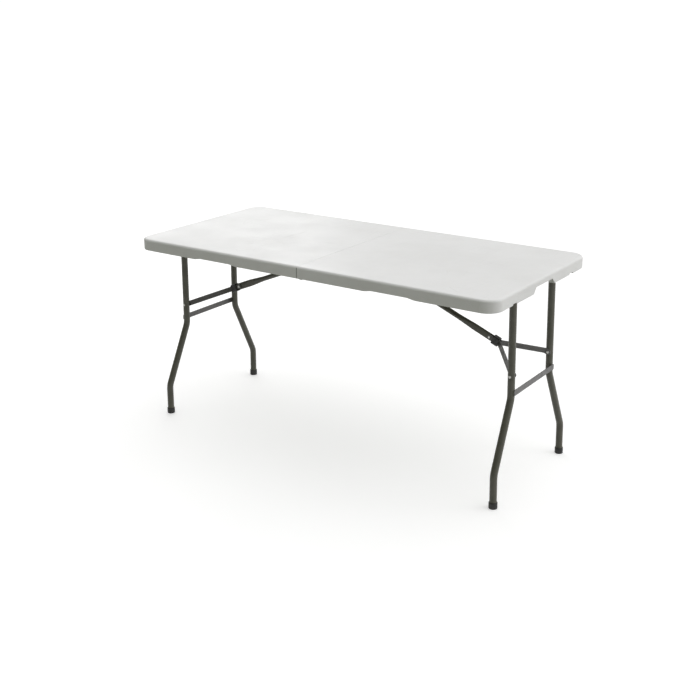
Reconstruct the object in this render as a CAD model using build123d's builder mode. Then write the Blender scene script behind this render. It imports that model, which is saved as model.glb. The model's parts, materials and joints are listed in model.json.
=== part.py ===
from build123d import *
from math import atan2, cos, degrees, hypot, sin
import os

# Folding table: two blow-moulded halves hinged under the seam, and at each end a
# leg frame that folds into its half and is held open by a brace with a lock ring.
# Millimetres, +X along the table, +Z up, origin on the floor under the centre.
# The right half is modelled, and its mirror image is the left half.

# ---- Overall sizes ----
table_length = 1520
table_width = 710
table_height = 740

# ---- Moulded panels ----
seam_gap = 1.0
skirt_height = 43.6
corner_radius = 55
top_edge_radius = 9
skirt_edge_radius = 2.5
panel_thickness = 12
panel_wall = 2.2
skirt_thickness = 22
skirt_floor = 8
seam_wall = 16
recess_corner_radius = 5
recess_edge_radius = 3

# Hand hold in each end skirt, and the shallow relief in each long skirt.
hand_hold_width = 144
hand_hold_height = 21
hand_hold_ramp = 10
relief_start = 270
relief_length = 210
relief_height = 5.5
relief_ramp = 35
end_relief_y = 216
end_relief_width = 44
end_relief_height = 6
end_relief_ramp = 9

# Tack-offs, the cones pressed up from the underside to meet the top skin.
tack_base_radius = 15
tack_tip_radius = 8
tack_pitch_x = 75
tack_pitch_y = 70
tack_columns = 9
tack_rows = 3
tack_first_x = 75
tack_first_y = 75

# ---- Steel tube and strip ----
leg_tube_diameter = 25
pivot_tube_diameter = 22
brace_tube_diameter = 19
tube_wall = 1.0
strip_thickness = 3

# ---- Side rails ----
rail_flange = 21
rail_thickness = 1.5
rail_gap = 1.0
rail_drop = 1.6
rail_bend_radius = 2.6
end_gap = 0.5
rail_screw_count = 4

# ---- Leg frames ----
pivot_from_end = 40
pivot_below_panel = 16
foot_lean = 7
leg_spacing = 295
foot_spacing = 520
upper_bend_height = 350
lower_bend_height = 116
leg_bend_radius = 60
rivet_height = 428
crossbar_height = 372
crossbar_width = 20
crossbar_overhang = 5
foot_cap_diameter = 30
foot_cap_height = 22
foot_cap_floor = 4
foot_pocket_gap = 3.0
plug_length = 15

# ---- Braces ----
brace_pivot_x = 31
flat_height = 27
flat_width = 7
flat_length = 65
taper_length = 70
tube_past_knee = 34
tube_past_pivot = 9
bar_height = 20
bar_straight = 42
bar_bend_radius = 6
bar_end_straight = 12
ring_length = 24
ring_from_knee = 14
ring_wall = 1.3
ring_play = 0.8
ring_width = 20
ring_corner = 3

# ---- Centre hinge ----
ear_thickness = 2.5
ear_radius = 10
ear_length = 90
ear_from_rail_edge = 2
ear_joggle_start = 24
ear_joggle_end = 30
hinge_pin_diameter = 8

# ---- Fasteners ----
pin_diameter = 6
rivet_head_diameter = 10
rivet_head_height = 2.2
screw_diameter = 4.4
screw_head_diameter = 9
screw_head_height = 2.5
screw_length = 10
screw_slot_width = 1.1
screw_slot_depth = 1.4
hinge_head_diameter = 14
boss_radius = 6

# ---- Clearances ----
running_fit = 0.06
side_gap = 0.3

# ---- Derived sizes shared by the pieces ----
skirt_bottom = table_height - skirt_height
underside = table_height - panel_thickness
pivot_height = underside - pivot_below_panel
half_end = table_length / 2
half_width = table_width / 2
seam_face = seam_gap / 2
recess_end = half_end - skirt_thickness
recess_side = half_width - skirt_thickness
recess_start = seam_face + seam_wall
rail_outer = recess_side - rail_gap
rail_inner = rail_outer - rail_thickness
rail_bottom = skirt_bottom + rail_drop
rail_start = recess_start + recess_edge_radius + end_gap
rail_end = recess_end - recess_edge_radius - end_gap
screw_row = rail_outer - rail_flange / 2

tube_radius = leg_tube_diameter / 2
pivot_tube_radius = pivot_tube_diameter / 2
brace_radius = brace_tube_diameter / 2
pin_radius = pin_diameter / 2
head_radius = rivet_head_diameter / 2
leg_y = leg_spacing / 2
foot_y = foot_spacing / 2

# Leg frame: the pivot, the lean of the legs and the places along them.
pivot_x = half_end - pivot_from_end
leg_lean = atan2(foot_lean, pivot_height)
leg_down = Vector(sin(leg_lean), 0, -cos(leg_lean))
pivot = Vector(pivot_x, 0, pivot_height)
leg_length = pivot_height / cos(leg_lean)
rivet_reach = (pivot_height - rivet_height) / cos(leg_lean)
crossbar_reach = (pivot_height - crossbar_height) / cos(leg_lean)
rivet_centre = pivot + leg_down * rivet_reach
leg_plane = Plane(origin=pivot, x_dir=(0, 1, 0), z_dir=(cos(leg_lean), 0, sin(leg_lean)))

# Brace: straight when the legs stand, and folded flat along itself when they lie in.
brace_pivot = Vector(brace_pivot_x, 0, pivot_height)
open_reach = (rivet_centre - brace_pivot).length
folded_reach = pivot_x - rivet_reach - brace_pivot_x
brace_length = (open_reach + folded_reach) / 2
bar_length = (open_reach - folded_reach) / 2
brace_dir = (rivet_centre - brace_pivot).normalized()
brace_up = Vector(-brace_dir.Z, 0, brace_dir.X)
knee = brace_pivot + brace_dir * brace_length
knee_plane = Plane(origin=knee, x_dir=brace_dir, z_dir=brace_up)
bar_inner = flat_width / 2 + side_gap
bar_outer_end = leg_y - tube_radius - side_gap

# Centre hinge: the left ear lies against its rail, and the right ear inside it.
left_ear_inner = rail_inner - ear_thickness
right_ear_inner = left_ear_inner - side_gap - ear_thickness
hinge_centre = Vector(0, 0, skirt_bottom)
hinge_head_radius = hinge_head_diameter / 2

# Screws: along the rails, and two in each brace bracket.
bracket_length = 30
bracket_half_width = 26
bracket_thickness = 2
bracket_start = recess_start + recess_edge_radius + end_gap
bracket_screw_y = 20
rail_screw_first = rail_start + ear_length
rail_screw_last = pivot_x - 45
rail_screw_step = (rail_screw_last - rail_screw_first) / (rail_screw_count - 1)
rail_screw_points = [
    (rail_screw_first + rail_screw_step * column, side * screw_row)
    for column in range(rail_screw_count)
    for side in (1, -1)
]
bracket_screw_points = [
    (bracket_start + bracket_length / 2, side * bracket_screw_y) for side in (1, -1)
]
tack_points = [
    (tack_first_x + tack_pitch_x * column, side * (tack_first_y + tack_pitch_y * row))
    for column in range(tack_columns)
    for row in range(tack_rows)
    for side in (1, -1)
]


# ---- Helpers used inside the part blocks ----
def brace_section(distance):
    """Plane square to the brace, at a distance from its upper pivot."""
    centre = brace_pivot + brace_dir * distance
    return Plane(origin=centre, x_dir=brace_up, z_dir=brace_dir)


def facing_front(y):
    """Upright plane at y whose sketches use X and Z, and whose extrusions go to -Y."""
    return Plane(origin=(0, y, 0), x_dir=(1, 0, 0), z_dir=(0, -1, 0))


def cross_hole(centre, radius, half_length):
    """Bore along Y through a point, half_length to each side."""
    with BuildSketch(facing_front(half_length)) as bore:
        with Locations((centre.X, centre.Z)):
            Circle(radius)
    extrude(bore.sketch, amount=2 * half_length, mode=Mode.SUBTRACT)


def rod(centre, radius, y_first, y_second):
    """Round bar along Y between two places."""
    with BuildSketch(facing_front(max(y_first, y_second))) as section:
        with Locations((centre.X, centre.Z)):
            Circle(radius)
    extrude(section.sketch, amount=abs(y_first - y_second))


def rivet_head(centre, radius, y_face, height, outward):
    """Domed head that stands on y_face, on the side that outward points to."""
    normal = (0, outward, 0)
    base = Plane(origin=(centre.X, y_face, centre.Z), x_dir=(1, 0, 0), z_dir=normal)
    with BuildSketch(base) as foot:
        Circle(radius)
    extrude(foot.sketch, amount=height, taper=25)


def screw(x, y, seat):
    """Pan-head screw driven upwards, with its head under the seat height."""
    with BuildSketch(Plane.XY.offset(seat)) as shank:
        with Locations((x, y)):
            Circle(screw_diameter / 2)
    extrude(shank.sketch, amount=screw_length)
    under = Plane(origin=(x, y, seat), x_dir=(1, 0, 0), z_dir=(0, 0, -1))
    with BuildSketch(under) as head:
        Circle(screw_head_diameter / 2)
    extrude(head.sketch, amount=screw_head_height, taper=15)
    with BuildSketch(under.offset(screw_head_height)) as slot:
        Rectangle(screw_head_diameter * 0.5, screw_slot_width)
        Rectangle(screw_slot_width, screw_head_diameter * 0.5)
    extrude(slot.sketch, amount=-screw_slot_depth, mode=Mode.SUBTRACT)


def export_pair(piece, base_name):
    """Write a piece of the right half, and its mirror image for the left half."""
    piece.part.label = "right_" + base_name
    export_step(piece.part, "parts/right_" + base_name + ".step")
    with BuildPart() as twin:
        add(piece.part)
        mirror(about=Plane.YZ, mode=Mode.REPLACE)
    twin.part.label = "left_" + base_name
    export_step(twin.part, "parts/left_" + base_name + ".step")


# ---- Moulded panel ----
def panel_outline(inset):
    """Plan of the right half, drawn in by inset on every side."""
    low_x = seam_face + inset
    high_x = half_end - inset
    with Locations(((low_x + high_x) / 2, 0)):
        Rectangle(high_x - low_x, table_width - 2 * inset)
    outer_corners = vertices().group_by(Axis.X)[-1]
    fillet(outer_corners, radius=corner_radius - inset)


def recess_outline(grow):
    """Plan of the hollow under the panel, inside the skirts and the seam wall."""
    low_x = recess_start - grow
    high_x = recess_end + grow
    with Locations(((low_x + high_x) / 2, 0)):
        Rectangle(high_x - low_x, 2 * (recess_side + grow))


def hand_hold_outline(grow):
    """Trapezoid cut up into an end skirt, in Y and Z."""
    low = hand_hold_width / 2 + hand_hold_ramp + grow
    high = hand_hold_width / 2 - hand_hold_ramp + grow
    bottom = skirt_bottom - 1
    top = skirt_bottom + hand_hold_height + grow
    Polygon((-low, bottom), (low, bottom), (high, top), (-high, top), align=None)


# The hollow inside the moulding, with solid posts at tack-offs and screws.
with BuildPart() as panel_void:
    with BuildSketch(Plane.XY.offset(skirt_bottom + skirt_floor)):
        panel_outline(panel_wall)
    extrude(amount=skirt_height - skirt_floor - panel_wall)
    rim_edges = panel_void.edges().group_by(Axis.Z)[-1].sort_by(Axis.X)[1:]
    fillet(rim_edges, radius=top_edge_radius - panel_wall)
    with BuildSketch(Plane.XY.offset(skirt_bottom)):
        recess_outline(panel_wall)
        with Locations((recess_start / 2, 0)):
            Rectangle(recess_start + 2 * panel_wall, table_width)
    extrude(amount=underside + panel_wall - skirt_bottom, mode=Mode.SUBTRACT)
    with BuildSketch(Plane.YZ.offset(recess_end - 2 * panel_wall)):
        hand_hold_outline(panel_wall)
    extrude(amount=skirt_thickness * 2, mode=Mode.SUBTRACT)
    with Locations([(x, y, underside) for x, y in tack_points]):
        Cone(
            tack_base_radius + panel_wall,
            tack_tip_radius + panel_wall,
            panel_thickness,
            align=(Align.CENTER, Align.CENTER, Align.MIN),
            mode=Mode.SUBTRACT,
        )
    with BuildSketch(Plane.XY.offset(underside)):
        with Locations(rail_screw_points + bracket_screw_points):
            Circle(boss_radius)
    extrude(amount=panel_thickness, mode=Mode.SUBTRACT)

# The hollow under the panel, which the legs and the brace fold into.
with BuildPart() as recess:
    with BuildSketch(Plane.XY.offset(skirt_bottom - 1)):
        recess_outline(0)
        fillet(vertices(), radius=recess_corner_radius)
    extrude(amount=underside - skirt_bottom + 1)
    fillet(recess.edges().group_by(Axis.Z)[-1], radius=recess_edge_radius)

with BuildPart() as top_panel:
    with BuildSketch(Plane.XY.offset(skirt_bottom)):
        panel_outline(0)
    extrude(amount=skirt_height)
    top_edges = top_panel.edges().group_by(Axis.Z)[-1].sort_by(Axis.X)[1:]
    fillet(top_edges, radius=top_edge_radius)
    low_edges = top_panel.edges().group_by(Axis.Z)[0].sort_by(Axis.X)[1:]
    fillet(low_edges, radius=skirt_edge_radius)
    add(recess.part, mode=Mode.SUBTRACT)
    add(panel_void.part, mode=Mode.SUBTRACT)
    # Hand hold in the end skirt.
    with BuildSketch(Plane.YZ.offset(recess_end - 1)):
        hand_hold_outline(0)
    extrude(amount=skirt_thickness + 2, mode=Mode.SUBTRACT)
    # Shallow relief along both long skirts.
    with BuildSketch(facing_front(half_width + 1)):
        Polygon(
            (relief_start, skirt_bottom - 1),
            (relief_start + relief_ramp, skirt_bottom + relief_height),
            (relief_start + relief_length - relief_ramp, skirt_bottom + relief_height),
            (relief_start + relief_length, skirt_bottom - 1),
            align=None,
        )
    extrude(amount=table_width + 2, mode=Mode.SUBTRACT)
    # Two small reliefs in the end skirt, one to each side of the hand hold.
    with BuildSketch(Plane.YZ.offset(recess_end - 1)):
        for side in (1, -1):
            with Locations((side * end_relief_y, skirt_bottom)):
                Trapezoid(
                    end_relief_width,
                    2 * end_relief_height,
                    degrees(atan2(2 * end_relief_height, end_relief_ramp)),
                )
    extrude(amount=skirt_thickness + 2, mode=Mode.SUBTRACT)
    # Pockets in the seam wall for the folded feet, and gaps for the hinge ears.
    pocket_start = pivot_x - leg_length - foot_pocket_gap
    pocket_width = foot_cap_diameter + 2 * foot_pocket_gap
    ear_gap_inner = right_ear_inner - 3.0
    with BuildSketch(Plane.XY.offset(skirt_bottom - 1)):
        for side in (1, -1):
            with Locations(((pocket_start + recess_start) / 2 + 1, side * foot_y)):
                Rectangle(recess_start - pocket_start + 2, pocket_width)
            with Locations((recess_start / 2, side * (ear_gap_inner + recess_side) / 2)):
                Rectangle(recess_start + 2, recess_side - ear_gap_inner)
    extrude(amount=underside - skirt_bottom + 1, mode=Mode.SUBTRACT)
    # Tack-offs and screw holes in the underside.
    with Locations([(x, y, underside) for x, y in tack_points]):
        Cone(
            tack_base_radius,
            tack_tip_radius,
            panel_thickness - 2 * panel_wall,
            align=(Align.CENTER, Align.CENTER, Align.MIN),
            mode=Mode.SUBTRACT,
        )
    with BuildSketch(Plane.XY.offset(underside)):
        with Locations(rail_screw_points + bracket_screw_points):
            Circle(screw_diameter / 2 + running_fit)
    extrude(amount=screw_length - rail_thickness + 0.3, mode=Mode.SUBTRACT)
export_pair(top_panel, "top_panel")


# ---- Side rails: steel angles that carry the leg pivots and the hinge ears ----
def side_rail(side):
    """Angle along one long side, with its web outside and its flange on top."""
    with BuildPart() as rail:
        with BuildSketch(Plane.YZ.offset(rail_start)):
            with BuildLine():
                FilletPolyline(
                    (side * (rail_outer - rail_flange), underside - rail_thickness / 2),
                    (side * (rail_outer - rail_thickness / 2), underside - rail_thickness / 2),
                    (side * (rail_outer - rail_thickness / 2), rail_bottom),
                    radius=rail_bend_radius,
                )
            trace(line_width=rail_thickness)
        extrude(amount=rail_end - rail_start)
        cross_hole(pivot, pivot_tube_radius + running_fit, half_width)
        with BuildSketch(Plane.XY.offset(underside - rail_thickness)):
            with Locations(rail_screw_points):
                Circle(screw_diameter / 2 + running_fit)
        extrude(amount=rail_thickness, mode=Mode.SUBTRACT)
    return rail


export_pair(side_rail(-1), "front_rail")
export_pair(side_rail(1), "rear_rail")

with BuildPart() as rail_screws:
    for x, y in rail_screw_points:
        screw(x, y, underside - rail_thickness)
export_pair(rail_screws, "rail_screws")


# ---- Centre hinge: an ear on each rail, and a pin under the seam ----
def ear_outline(side_x):
    """Ear in X and Z, from its eye at the seam to its tail along the rail."""
    eye_z = skirt_bottom
    with Locations((0, eye_z)):
        Circle(ear_radius)
    tail_top = underside - rail_thickness - rail_bend_radius
    tail_bottom = rail_bottom + ear_from_rail_edge
    tail_height = tail_top - tail_bottom
    tail_z = tail_bottom + tail_height / 2
    with Locations((side_x * (rail_start + ear_length / 2), tail_z)):
        RectangleRounded(ear_length - rail_start, tail_height, 4)
    make_hull()


with BuildPart() as left_ears:
    for side in (1, -1):
        y_high = max(side * left_ear_inner, side * rail_inner)
        with BuildSketch(facing_front(y_high)):
            ear_outline(-1)
        extrude(amount=ear_thickness)
    cross_hole(hinge_centre, hinge_pin_diameter / 2 + running_fit, half_width)
left_ears.part.label = "left_hinge_ears"
export_step(left_ears.part, "parts/left_hinge_ears.step")

# The right ear is joggled inwards so that its eye clears the left one.
with BuildPart() as right_ears:
    for side in (1, -1):
        y_high = max(side * right_ear_inner, side * rail_inner)
        with BuildSketch(facing_front(y_high)):
            ear_outline(1)
        extrude(amount=rail_inner - right_ear_inner)
        # Away from the rail's side near the eye, and towards it along the tail.
        eye_cut = max(side * (right_ear_inner + ear_thickness), side * rail_inner)
        with BuildSketch(facing_front(eye_cut)):
            with Locations((ear_joggle_start - ear_length / 2, skirt_bottom)):
                Rectangle(ear_length, skirt_height * 2)
        extrude(amount=rail_inner - right_ear_inner - ear_thickness, mode=Mode.SUBTRACT)
        tail_cut = max(side * right_ear_inner, side * left_ear_inner)
        with BuildSketch(facing_front(tail_cut)):
            with Locations((ear_joggle_end + ear_length / 2, skirt_bottom)):
                Rectangle(ear_length, skirt_height * 2)
        extrude(amount=left_ear_inner - right_ear_inner, mode=Mode.SUBTRACT)
    cross_hole(hinge_centre, hinge_pin_diameter / 2 + running_fit, half_width)
right_ears.part.label = "right_hinge_ears"
export_step(right_ears.part, "parts/right_hinge_ears.step")

with BuildPart() as hinge_pins:
    for side in (1, -1):
        rod(hinge_centre, hinge_pin_diameter / 2, side * right_ear_inner, side * rail_inner)
        rivet_head(hinge_centre, hinge_head_radius, side * rail_inner, rail_thickness, side)
        rivet_head(hinge_centre, hinge_head_radius, side * right_ear_inner, rivet_head_height, -side)
hinge_pins.part.label = "hinge_pins"
export_step(hinge_pins.part, "parts/hinge_pins.step")


# ---- Leg frame ----
# Cross tube at the top, which turns in the webs of the rails.
with BuildPart() as pivot_tube:
    rod(pivot, pivot_tube_radius, rail_outer + rail_gap / 2, -rail_outer - rail_gap / 2)
    cross_hole(pivot, pivot_tube_radius - tube_wall, half_width)
export_pair(pivot_tube, "leg_pivot_tube")

# Plugs in the ends of the cross tube.
with BuildPart() as pivot_plugs:
    plug_end = rail_outer + rail_gap / 2
    plug_radius = pivot_tube_radius - tube_wall - running_fit
    for side in (1, -1):
        rod(pivot, plug_radius, side * plug_end, side * (plug_end - plug_length))
export_pair(pivot_plugs, "pivot_plugs")


def leg_tube(side):
    """Bent leg, from under the cross tube down into its foot cap."""
    top = -pivot_tube_radius / 2
    bottom = foot_cap_floor - leg_length
    upper_bend = -(pivot_height - upper_bend_height) / cos(leg_lean)
    lower_bend = -(pivot_height - lower_bend_height) / cos(leg_lean)
    with BuildPart() as leg:
        with BuildLine(leg_plane) as path:
            FilletPolyline(
                (side * leg_y, top),
                (side * leg_y, upper_bend),
                (side * foot_y, lower_bend),
                (side * foot_y, bottom),
                radius=leg_bend_radius,
            )
        with BuildSketch(Plane(origin=path.line @ 0, z_dir=path.line % 0)):
            Circle(tube_radius)
            Circle(tube_radius - tube_wall, mode=Mode.SUBTRACT)
        sweep()
        cross_hole(pivot, pivot_tube_radius, half_width)
        cross_hole(rivet_centre, pin_radius + running_fit, half_width)
    return leg


export_pair(leg_tube(-1), "front_leg_tube")
export_pair(leg_tube(1), "rear_leg_tube")

# Flat crossbar on the outer side of the legs.
with BuildPart() as crossbar:
    with BuildSketch(leg_plane.offset(tube_radius)):
        with Locations((0, -crossbar_reach)):
            RectangleRounded(leg_spacing + 2 * crossbar_overhang, crossbar_width, 4)
    extrude(amount=strip_thickness)
export_pair(crossbar, "leg_crossbar")


def foot_cap(side):
    """Plastic cup on the end of a leg, cut level where it stands."""
    base_point = pivot + leg_down * (leg_length + 1) + Vector(0, side * foot_y, 0)
    base = Plane(origin=base_point, x_dir=(0, 1, 0), z_dir=-leg_down)
    with BuildPart() as cap:
        with BuildSketch(base):
            Circle(foot_cap_diameter / 2)
        extrude(amount=foot_cap_height + 1)
        fillet(cap.edges().group_by(Axis.Z)[-1], radius=1.2)
        with BuildSketch(base.offset(foot_cap_floor + 1)):
            Circle(tube_radius + running_fit)
        extrude(amount=foot_cap_height, mode=Mode.SUBTRACT)
        split(bisect_by=Plane.XY, keep=Keep.TOP)
        fillet(cap.edges().group_by(Axis.Z)[0], radius=1.5)
    return cap


export_pair(foot_cap(-1), "front_foot_cap")
export_pair(foot_cap(1), "rear_foot_cap")

# Rivets through the legs, ending flush with the side that the bars lie against.
with BuildPart() as leg_rivets:
    for side in (1, -1):
        face = side * (leg_y + tube_radius)
        end = side * (leg_y - tube_radius)
        rod(rivet_centre, pin_radius, face, end)
        rivet_head(rivet_centre, head_radius, face, rivet_head_height, side)
export_pair(leg_rivets, "leg_rivets")

# ---- Brace: tube, upper bracket and pin ----
with BuildPart() as brace_tube:
    taper_start = brace_length - flat_length - taper_length
    flat_start = brace_length - flat_length
    round_length = taper_start + tube_past_pivot
    for shrink, mode in ((0, Mode.ADD), (tube_wall, Mode.SUBTRACT)):
        with BuildSketch(brace_section(-tube_past_pivot)):
            Circle(brace_radius - shrink)
        extrude(amount=round_length, mode=mode)
        with BuildSketch(brace_section(taper_start)):
            Circle(brace_radius - shrink)
        with BuildSketch(brace_section(flat_start)):
            Ellipse(flat_height / 2 - shrink, flat_width / 2 - shrink)
        loft(mode=mode)
        with BuildSketch(brace_section(flat_start)):
            Ellipse(flat_height / 2 - shrink, flat_width / 2 - shrink)
        extrude(amount=flat_length + tube_past_knee, mode=mode)
    cross_hole(brace_pivot, pin_radius + running_fit, brace_tube_diameter)
    cross_hole(knee, pin_radius + running_fit, brace_tube_diameter)
export_pair(brace_tube, "brace_tube")

with BuildPart() as brace_bracket:
    cheek_inner = brace_radius + 1.0
    cheek_outer = cheek_inner + bracket_thickness
    with BuildSketch(Plane.XY.offset(underside)):
        with Locations((bracket_start + bracket_length / 2, 0)):
            RectangleRounded(bracket_length, 2 * bracket_half_width, 3)
    extrude(amount=-bracket_thickness)
    for side in (1, -1):
        with BuildSketch(facing_front(max(side * cheek_inner, side * cheek_outer))):
            with Locations((brace_pivot_x, pivot_height)):
                Circle(8)
            with Locations((bracket_start + bracket_length / 2, underside - bracket_thickness - 0.5)):
                Rectangle(bracket_length - 6, 1)
            make_hull()
        extrude(amount=bracket_thickness)
    cross_hole(brace_pivot, pin_radius + running_fit, half_width)
    with BuildSketch(Plane.XY.offset(underside)):
        with Locations(bracket_screw_points):
            Circle(screw_diameter / 2 + running_fit)
    extrude(amount=-bracket_thickness, mode=Mode.SUBTRACT)
export_pair(brace_bracket, "brace_bracket")

with BuildPart() as bracket_screws:
    for x, y in bracket_screw_points:
        screw(x, y, underside - bracket_thickness)
export_pair(bracket_screws, "bracket_screws")

with BuildPart() as brace_pin:
    rod(brace_pivot, pin_radius, cheek_outer, -cheek_outer)
    rivet_head(brace_pivot, head_radius, cheek_outer, rivet_head_height, 1)
    rivet_head(brace_pivot, head_radius, -cheek_outer, rivet_head_height, -1)
export_pair(brace_pin, "brace_pin")


# ---- Brace: knee, two flat bars to the legs, and the lock ring ----
def yoke_bar(side):
    """Flat bar on edge, from the knee out to the inner face of one leg."""
    spread_end = bar_length - bar_end_straight
    with BuildPart() as bar:
        with BuildSketch(knee_plane):
            with BuildLine():
                FilletPolyline(
                    (-bar_height / 2, side * (bar_inner + strip_thickness / 2)),
                    (bar_straight, side * (bar_inner + strip_thickness / 2)),
                    (spread_end, side * (bar_outer_end - strip_thickness / 2)),
                    (bar_length + bar_height / 2, side * (bar_outer_end - strip_thickness / 2)),
                    radius=bar_bend_radius,
                )
            trace(line_width=strip_thickness)
        extrude(amount=bar_height / 2, both=True)
        end_edges = bar.edges().filter_by(Axis.Y)
        fillet(end_edges, radius=bar_height / 2 - 0.1)
        cross_hole(knee, pin_radius + running_fit, half_width)
        cross_hole(rivet_centre, pin_radius + running_fit, half_width)
    return bar


export_pair(yoke_bar(-1), "front_yoke_bar")
export_pair(yoke_bar(1), "rear_yoke_bar")

with BuildPart() as knee_rivet:
    knee_face = bar_inner + strip_thickness
    rod(knee, pin_radius, knee_face, -knee_face)
    rivet_head(knee, head_radius, knee_face, rivet_head_height, 1)
    rivet_head(knee, head_radius, -knee_face, rivet_head_height, -1)
export_pair(knee_rivet, "knee_rivet")

# Rivet heads on the inner side of the bars, at the legs.
with BuildPart() as bar_rivets:
    for side in (1, -1):
        face = side * (bar_outer_end - strip_thickness)
        end = side * bar_outer_end
        rod(rivet_centre, pin_radius, face, end)
        rivet_head(rivet_centre, head_radius, face, rivet_head_height, -side)
export_pair(bar_rivets, "bar_rivets")

with BuildPart() as lock_ring:
    ring_inner_height = flat_height + 2 * ring_play
    with BuildSketch(brace_section(brace_length + ring_from_knee)):
        RectangleRounded(
            ring_inner_height + 2 * ring_wall, ring_width + 2 * ring_wall, ring_corner + ring_wall
        )
        RectangleRounded(ring_inner_height, ring_width, ring_corner, mode=Mode.SUBTRACT)
    extrude(amount=ring_length)
export_pair(lock_ring, "lock_ring")

brace_angle = degrees(atan2(-brace_dir.Z, brace_dir.X))
print(f"pivot x {pivot_x:.2f} z {pivot_height}, lean {degrees(leg_lean):.3f} degrees")
print(f"rivet {rivet_centre}, knee {knee}")
print(f"brace {brace_length:.2f}, bar {bar_length:.2f}, brace angle {brace_angle:.3f} degrees")
print(f"foot tip when folded, from the centre {pivot_x - leg_length:.2f}")
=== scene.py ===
import json
import math

import bpy
from mathutils import Matrix, Vector


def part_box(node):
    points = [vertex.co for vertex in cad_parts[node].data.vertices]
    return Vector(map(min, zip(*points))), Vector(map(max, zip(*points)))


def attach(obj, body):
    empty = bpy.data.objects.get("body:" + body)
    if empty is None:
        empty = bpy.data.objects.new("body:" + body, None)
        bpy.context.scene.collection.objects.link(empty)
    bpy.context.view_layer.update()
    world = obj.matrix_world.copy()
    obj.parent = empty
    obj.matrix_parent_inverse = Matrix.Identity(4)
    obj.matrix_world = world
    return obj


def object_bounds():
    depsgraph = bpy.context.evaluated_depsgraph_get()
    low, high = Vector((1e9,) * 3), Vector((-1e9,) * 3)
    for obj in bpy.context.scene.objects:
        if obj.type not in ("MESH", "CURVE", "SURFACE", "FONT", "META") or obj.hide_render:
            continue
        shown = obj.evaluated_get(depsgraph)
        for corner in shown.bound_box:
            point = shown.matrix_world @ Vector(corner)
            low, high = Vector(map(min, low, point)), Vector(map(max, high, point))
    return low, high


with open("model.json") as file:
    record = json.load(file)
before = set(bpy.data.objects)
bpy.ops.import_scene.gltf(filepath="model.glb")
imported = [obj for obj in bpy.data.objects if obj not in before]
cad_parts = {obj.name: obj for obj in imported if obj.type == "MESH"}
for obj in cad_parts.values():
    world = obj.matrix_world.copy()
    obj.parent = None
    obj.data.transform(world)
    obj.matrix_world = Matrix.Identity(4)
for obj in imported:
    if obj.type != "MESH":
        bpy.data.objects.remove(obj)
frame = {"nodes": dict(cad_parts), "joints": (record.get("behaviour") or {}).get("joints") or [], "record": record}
cad_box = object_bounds()

SIDES = ("left", "right")
ENDS = ("front", "rear")

# Sizes in metres that the frame doesn't hold.
leg_radius = 0.0125
leg_weld_radius = 0.0016
crossbar_weld_radius = 0.0017
crossbar_weld_from_middle = 0.0055
weld_end_gap = 0.002
weld_sunk = 0.0002


# ---- Node helpers ----
class Shader:
    """A node material with one Principled shader, and short calls to add nodes to it."""

    def __init__(self, name, roughness=0.5, metallic=0.0, specular=0.5):
        self.material = bpy.data.materials.new(name)
        self.material.use_nodes = True
        self.tree = self.material.node_tree
        self.principled = self.tree.nodes["Principled BSDF"]
        self.principled.inputs["Roughness"].default_value = roughness
        self.principled.inputs["Metallic"].default_value = metallic
        self.principled.inputs["Specular IOR Level"].default_value = specular
        self.position = self.tree.nodes.new("ShaderNodeTexCoord").outputs["Object"]

    def node(self, kind, **settings):
        made = self.tree.nodes.new(kind)
        for key, value in settings.items():
            setattr(made, key, value)
        return made

    def link(self, source, target):
        self.tree.links.new(source, target)

    def stretched(self, scale):
        """Object coordinates scaled along each axis."""
        mapping = self.node("ShaderNodeMapping")
        mapping.inputs["Scale"].default_value = scale
        self.link(self.position, mapping.inputs["Vector"])
        return mapping.outputs["Vector"]

    def noise(self, scale, detail=3.0, roughness=0.5, vector=None):
        made = self.node("ShaderNodeTexNoise")
        made.inputs["Scale"].default_value = scale
        made.inputs["Detail"].default_value = detail
        made.inputs["Roughness"].default_value = roughness
        self.link(vector or self.position, made.inputs["Vector"])
        return made.outputs["Fac"]

    def cells(self, scale, vector=None, feature="F1"):
        made = self.node("ShaderNodeTexVoronoi", feature=feature)
        made.inputs["Scale"].default_value = scale
        self.link(vector or self.position, made.inputs["Vector"])
        return made.outputs["Distance"]

    def ranged(self, value, low, high, to_low=0.0, to_high=1.0):
        made = self.node("ShaderNodeMapRange", interpolation_type="SMOOTHSTEP")
        made.inputs["From Min"].default_value = low
        made.inputs["From Max"].default_value = high
        made.inputs["To Min"].default_value = to_low
        made.inputs["To Max"].default_value = to_high
        self.link(value, made.inputs["Value"])
        return made.outputs["Result"]

    def maths(self, operation, first, second):
        made = self.node("ShaderNodeMath", operation=operation)
        for socket, value in zip(made.inputs, (first, second)):
            if isinstance(value, (int, float)):
                socket.default_value = value
            else:
                self.link(value, socket)
        return made.outputs["Value"]

    def mixed(self, factor, first, second):
        """Colour mix, where each end is a colour or another node's output."""
        made = self.node("ShaderNodeMix", data_type="RGBA")
        self.link(factor, made.inputs["Factor"])
        for socket, value in ((made.inputs[6], first), (made.inputs[7], second)):
            if isinstance(value, tuple):
                socket.default_value = (*value, 1.0)
            else:
                self.link(value, socket)
        return made.outputs[2]

    def bump(self, height, distance, strength=1.0, under=None):
        made = self.node("ShaderNodeBump")
        made.inputs["Strength"].default_value = strength
        made.inputs["Distance"].default_value = distance
        self.link(height, made.inputs["Height"])
        if under is not None:
            self.link(under, made.inputs["Normal"])
        return made.outputs["Normal"]

    def finish(self, colour=None, roughness=None, normal=None):
        if colour is not None:
            self.link(colour, self.principled.inputs["Base Color"])
        if roughness is not None:
            self.link(roughness, self.principled.inputs["Roughness"])
        if normal is not None:
            self.link(normal, self.principled.inputs["Normal"])
        return self.material


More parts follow.
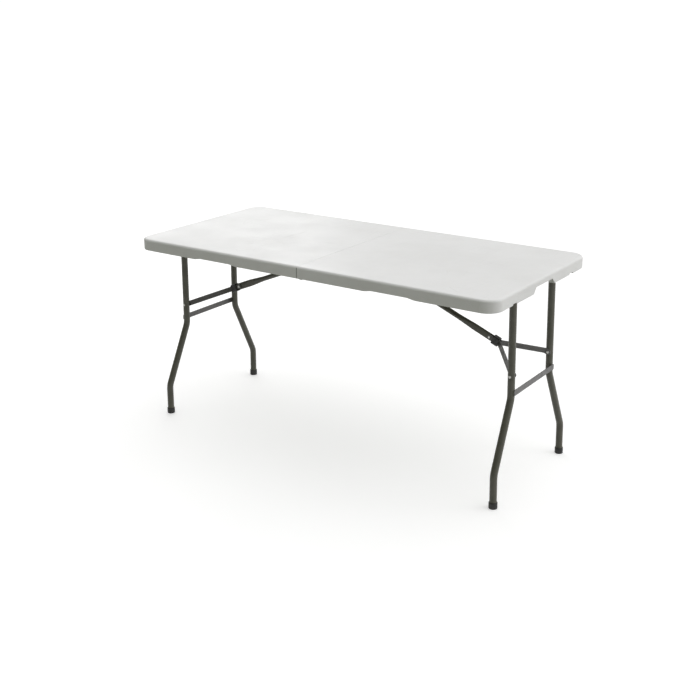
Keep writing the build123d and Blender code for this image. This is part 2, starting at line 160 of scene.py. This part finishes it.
# ---- Materials ----
def scratches(shader, stretch, cell_scale, width):
    """Thin random strokes: cell edges of a stretched pattern, broken up by noise."""
    edges = shader.cells(cell_scale, shader.stretched(stretch), feature="DISTANCE_TO_EDGE")
    line = shader.ranged(edges, 0.0, width, 1.0, 0.0)
    patches = shader.ranged(shader.noise(5.0, 2.0), 0.52, 0.62)
    return shader.maths("MULTIPLY", line, patches)


def seam_painted_shade(shader):
    """Painted shade on the long skirts' edges at the seam: a dark line for the shadow in the gap, which the 1 mm
    gap alone is too fine to show.
    """
    skirt_face, top_face = cad_box[1][1], cad_box[1][2]
    full_shade, no_shade = 0.0010, 0.0018
    skirt_depth, edge_depth = 0.008, 0.007
    fade = 0.004
    split = shader.node("ShaderNodeSeparateXYZ")
    shader.link(shader.position, split.inputs["Vector"])
    from_seam = shader.maths("ABSOLUTE", split.outputs["X"], 0.0)
    from_middle = shader.maths("ABSOLUTE", split.outputs["Y"], 0.0)
    skirt_start, edge_start = skirt_face - skirt_depth, top_face - edge_depth
    beside = shader.ranged(from_seam, full_shade, no_shade, 1.0, 0.0)
    outside = shader.ranged(from_middle, skirt_start, skirt_start + fade)
    below = shader.ranged(split.outputs["Z"], edge_start, edge_start + fade, 1.0, 0.0)
    return shader.maths("MULTIPLY", beside, shader.maths("MULTIPLY", outside, below))


def moulded_top():
    """Blow-moulded polyethylene: pebbled skin, slow unevenness, scuffs, faint soiling and a painted shade line at
    the seam.
    """
    shader = Shader("moulded_top", specular=0.45)
    shader.principled.inputs["Subsurface Weight"].default_value = 0.08
    shader.principled.inputs["Subsurface Radius"].default_value = (1.0, 0.95, 0.85)
    shader.principled.inputs["Subsurface Scale"].default_value = 0.004
    cloud = shader.ranged(shader.noise(3.5, 5.0, 0.6), 0.35, 0.70)
    colour = shader.mixed(cloud, (0.832, 0.832, 0.826), (0.800, 0.800, 0.792))
    strokes = shader.maths(
        "MAXIMUM",
        scratches(shader, (1.0, 0.12, 1.0), 26.0, 0.012),
        scratches(shader, (0.10, 1.0, 1.0), 22.0, 0.012),
    )
    colour = shader.mixed(shader.maths("MULTIPLY", strokes, 0.30), colour, (0.70, 0.70, 0.68))
    smudge = shader.ranged(shader.noise(11.0, 4.0, 0.65), 0.58, 0.80)
    colour = shader.mixed(shader.maths("MULTIPLY", smudge, 0.20), colour, (0.74, 0.735, 0.70))
    # Painted shade: a dark line along the seam on the long skirts, for the shadow in the gap between the halves.
    colour = shader.mixed(seam_painted_shade(shader), colour, (0.20, 0.20, 0.17))
    gloss = shader.ranged(shader.noise(7.0, 4.0, 0.6), 0.3, 0.7, 0.36, 0.50)
    gloss = shader.maths("ADD", gloss, shader.maths("MULTIPLY", strokes, 0.18))
    pebbles = shader.bump(shader.cells(620.0), 0.00016, 0.55)
    grain = shader.bump(shader.noise(1500.0, 2.0), 0.00008, 0.4, under=pebbles)
    waves = shader.bump(shader.noise(9.0, 2.0, 0.4), 0.0007, 0.35, under=grain)
    return shader.finish(colour, gloss, waves)


def powder_coat(name, base, light, roughness_low, roughness_high):
    """Powder-coated steel: orange peel, cloudy sheen, and worn, lighter rubs and specks."""
    shader = Shader(name, specular=0.5)
    cloud = shader.ranged(shader.noise(18.0, 4.0, 0.6), 0.3, 0.72)
    colour = shader.mixed(cloud, base, light)
    rubs = shader.ranged(shader.noise(42.0, 6.0, 0.72), 0.63, 0.76)
    worn_gain = 1.9
    worn = tuple(min(1.0, channel * worn_gain) for channel in light)
    colour = shader.mixed(shader.maths("MULTIPLY", rubs, 0.45), colour, worn)
    specks = shader.ranged(shader.cells(210.0), 0.0, 0.16, 1.0, 0.0)
    colour = shader.mixed(shader.maths("MULTIPLY", specks, 0.25), colour, worn)
    gloss = shader.ranged(shader.noise(60.0, 4.0, 0.6), 0.3, 0.7, roughness_low, roughness_high)
    peel = shader.bump(shader.noise(420.0, 2.0, 0.5), 0.00022, 0.5)
    grit = shader.bump(shader.cells(1500.0), 0.00005, 0.4, under=peel)
    return shader.finish(colour, gloss, grit)


def plated_steel():
    """Zinc-plated fasteners: fine turned lines, dull patches and a warm tint."""
    shader = Shader("plated_steel", metallic=1.0)
    patches = shader.ranged(shader.noise(260.0, 4.0, 0.6), 0.35, 0.7)
    colour = shader.mixed(patches, (0.50, 0.50, 0.48), (0.34, 0.34, 0.32))
    gloss = shader.ranged(shader.noise(380.0, 3.0), 0.3, 0.7, 0.30, 0.50)
    lines = shader.noise(60.0, 2.0, vector=shader.stretched((30.0, 4.0, 30.0)))
    return shader.finish(colour, gloss, shader.bump(lines, 0.00008, 0.35))


def black_plastic():
    """Moulded black plastic of the foot caps, plugs and lock rings."""
    shader = Shader("black_plastic", specular=0.5)
    dust = shader.ranged(shader.noise(35.0, 5.0, 0.7), 0.5, 0.78)
    colour = shader.mixed(dust, (0.016, 0.016, 0.016), (0.052, 0.050, 0.046))
    gloss = shader.ranged(shader.noise(120.0, 4.0, 0.6), 0.3, 0.7, 0.38, 0.62)
    pebbles = shader.bump(shader.cells(900.0), 0.00010, 0.6)
    return shader.finish(colour, gloss, pebbles)


MATERIALS = {
    "white_plastic": moulded_top(),
    "coated_steel": powder_coat("coated_tube", (0.075, 0.074, 0.054), (0.104, 0.101, 0.078), 0.34, 0.50),
    # Painted light: the crossbars' coat is painted lighter and more purple than the tubes', for the light that the
    # crossbars' flat faces catch and reflect.
    "coated_strip": powder_coat("coated_strip", (0.125, 0.122, 0.122), (0.165, 0.160, 0.160), 0.36, 0.55),
    "zinc_steel": plated_steel(),
    "black_plastic": black_plastic(),
}

slot_of = {entry["node"]: entry["material_slot"] for entry in frame["record"]["subparts"]}
for node, shown in frame["nodes"].items():
    shown.data.materials.clear()
    shown.data.materials.append(MATERIALS[slot_of[node]])


# ---- Weld beads, which the CAD tubes don't have ----
def bead(name, path, radius, body, closed=False):
    """Rippled weld bead along a path, as one closed tube mesh that rides on a body."""
    around = 10
    ripple_depth, ripple_step = 0.16, 1.9
    end_share = 0.35
    vertices, faces = [], []
    count = len(path)
    for index, point in enumerate(path):
        ahead = path[(index + 1) % count] if closed or index < count - 1 else point
        behind = path[index - 1] if closed or index > 0 else point
        along = (ahead - behind).normalized()
        across = along.orthogonal().normalized()
        upright = along.cross(across)
        ripple = radius * (1.0 + ripple_depth * math.cos(index * ripple_step))
        if not closed and index in (0, count - 1):
            ripple = radius * end_share
        for step in range(around):
            angle = 2 * math.pi * step / around
            vertices.append(point + ripple * (math.cos(angle) * across + math.sin(angle) * upright))
    rows = count if closed else count - 1
    for row in range(rows):
        low, high = row * around, (row + 1) % count * around
        for step in range(around):
            beside = (step + 1) % around
            faces.append((low + step, low + beside, high + beside, high + step))
    if not closed:
        faces.append(tuple(reversed(range(around))))
        faces.append(tuple(range((count - 1) * around, count * around)))
    mesh = bpy.data.meshes.new(name)
    mesh.from_pydata(vertices, [], faces)
    mesh.polygons.foreach_set("use_smooth", [True] * len(faces))
    made = bpy.data.objects.new(name, mesh)
    bpy.context.scene.collection.objects.link(made)
    mesh.materials.append(MATERIALS["coated_steel"])
    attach(made, body)


def weld_legs(side):
    """Beads where the crossbar meets the legs, and around the top of each leg."""
    outward = -1 if side == "left" else 1
    pivot = Vector(next(j["pos_m"] for j in frame["joints"] if j["name"] == side + "_leg_fold"))
    strip_low, strip_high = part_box(side + "_leg_crossbar")
    strip_face = min(abs(strip_low.x), abs(strip_high.x))
    tube_low, tube_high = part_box(side + "_leg_pivot_tube")
    pivot_radius = (tube_high.z - tube_low.z) / 2
    strip_steps, ring_steps = 14, 48
    for end in ENDS:
        toward = -1 if end == "front" else 1
        leg_low, leg_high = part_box(f"{side}_{end}_leg_tube")
        leg_inner = min(abs(leg_low.y), abs(leg_high.y))
        leg_y = toward * (leg_inner + leg_radius)
        for index, beside in enumerate((-1, 1)):
            x = outward * (strip_face - weld_sunk)
            y = leg_y + beside * crossbar_weld_from_middle
            start = Vector((x, y, strip_low.z + weld_end_gap))
            run = strip_high.z - strip_low.z - 2 * weld_end_gap
            path = [start + Vector((0, 0, run * step / strip_steps)) for step in range(strip_steps + 1)]
            bead(f"{side}_{end}_crossbar_weld_{index}", path, crossbar_weld_radius, side + "_leg")
        path = []
        for step in range(ring_steps):
            angle = 2 * math.pi * step / ring_steps
            x = leg_radius * math.cos(angle)
            drop = math.sqrt(max(pivot_radius**2 - x**2, (pivot_radius / 2) ** 2))
            path.append(pivot + Vector((x, leg_y + leg_radius * math.sin(angle), -drop)))
        bead(f"{side}_{end}_leg_weld", path, leg_weld_radius, side + "_leg", closed=True)


for side in SIDES:
    weld_legs(side)


# ---- Floor, light and camera ----
def build_floor():
    """Plain pale floor, far wider than any view of the table."""
    half_size = 60.0
    corners = [(half_size * x, half_size * y, 0) for x, y in ((-1, -1), (1, -1), (1, 1), (-1, 1))]
    mesh = bpy.data.meshes.new("floor")
    mesh.from_pydata(corners, [], [(0, 1, 2, 3)])
    floor = bpy.data.objects.new("floor", mesh)
    bpy.context.scene.collection.objects.link(floor)
    shader = Shader("floor", roughness=0.9, specular=0.1)
    cloud = shader.ranged(shader.noise(1.2, 3.0), 0.3, 0.7)
    colour = shader.mixed(cloud, (0.86, 0.86, 0.86), (0.845, 0.845, 0.845))
    shader.principled.inputs["Emission Color"].default_value = (1, 1, 1, 1)
    shader.principled.inputs["Emission Strength"].default_value = 0.36
    floor.data.materials.append(shader.finish(colour))
    # The floor is much brighter than the studio's front side, so it doesn't light the table.
    floor.visible_diffuse = False


def build_world():
    """Studio light all around: bright from the right, the back and above, dim from the front."""
    world = bpy.data.worlds.new("studio")
    bpy.context.scene.world = world
    world.use_nodes = True
    tree = world.node_tree
    direction = tree.nodes.new("ShaderNodeTexCoord").outputs["Generated"]
    toward_light = tree.nodes.new("ShaderNodeVectorMath")
    toward_light.operation = "DOT_PRODUCT"
    toward_light.inputs[1].default_value = Vector((0.30, 0.50, 0.80)).normalized()
    tree.links.new(direction, toward_light.inputs[0])
    ramp = tree.nodes.new("ShaderNodeValToRGB")
    away_from_light = (0.125, 0.132, 0.100)
    at_light = (1.12, 1.12, 1.12)
    between = {0.40: (0.185, 0.193, 0.155), 0.62: (0.56, 0.56, 0.55), 0.85: (1.0, 1.0, 1.0)}
    elements = ramp.color_ramp.elements
    elements[0].color = (*away_from_light, 1)
    elements[1].color = (*at_light, 1)
    for place, colour in between.items():
        elements.new(place).color = (*colour, 1)
    spread = tree.nodes.new("ShaderNodeMapRange")
    spread.inputs["From Min"].default_value = -1.0
    spread.inputs["From Max"].default_value = 1.0
    tree.links.new(toward_light.outputs["Value"], spread.inputs["Value"])
    tree.links.new(spread.outputs["Result"], ramp.inputs["Fac"])
    # The gradient lights the table, and only the view past the floor's edge is plain white.
    seen = tree.nodes.new("ShaderNodeLightPath").outputs["Is Camera Ray"]
    backdrop = tree.nodes.new("ShaderNodeMix")
    backdrop.data_type = "RGBA"
    tree.links.new(seen, backdrop.inputs["Factor"])
    tree.links.new(ramp.outputs["Color"], backdrop.inputs[6])
    backdrop.inputs[7].default_value = (1, 1, 1, 1)
    tree.links.new(backdrop.outputs[2], tree.nodes["Background"].inputs["Color"])


def area_light(name, place, target, width, power):
    """Square soft light at a place, turned towards a target."""
    lamp = bpy.data.lights.new(name, "AREA")
    lamp.shape = "RECTANGLE"
    lamp.size, lamp.size_y = width, width
    lamp.energy = power
    holder = bpy.data.objects.new(name, lamp)
    bpy.context.scene.collection.objects.link(holder)
    holder.location = place
    aim = Vector(target) - Vector(place)
    holder.rotation_euler = aim.to_track_quat("-Z", "Y").to_euler()


def build_camera():
    """Eye-level three-quarter view from the front right, looking down at the table."""
    place = Vector((2.2025, -3.1974, 1.7116))
    yaw, pitch, roll = 0.6082, 0.2725, -0.0064
    focal_over_width = 1.5528
    lens_shift = -0.1069
    ahead = Vector((-math.sin(yaw) * math.cos(pitch), math.cos(yaw) * math.cos(pitch), -math.sin(pitch)))
    right = ahead.cross(Vector((0, 0, 1))).normalized()
    up = right.cross(ahead)
    side = math.cos(roll) * right + math.sin(roll) * up
    top = math.cos(roll) * up - math.sin(roll) * right
    lens = bpy.data.cameras.new("camera")
    lens.sensor_width = 36.0
    lens.lens = lens.sensor_width * focal_over_width
    lens.shift_y = lens_shift
    camera = bpy.data.objects.new("camera", lens)
    bpy.context.scene.collection.objects.link(camera)
    camera.matrix_world = Matrix.Translation(place) @ Matrix((side, top, -ahead)).transposed().to_4x4()
    bpy.context.scene.camera = camera


build_floor()
build_world()
area_light("key_light", place=(-3.2, 2.4, 2.4), target=(-0.7, 0.0, 0.7), width=2.4, power=24.0)
area_light("end_light", place=(3.4, 1.4, 1.5), target=(0.7, 0.2, 0.6), width=1.4, power=13.0)
build_camera()
bpy.context.scene.view_settings.view_transform = "Standard"
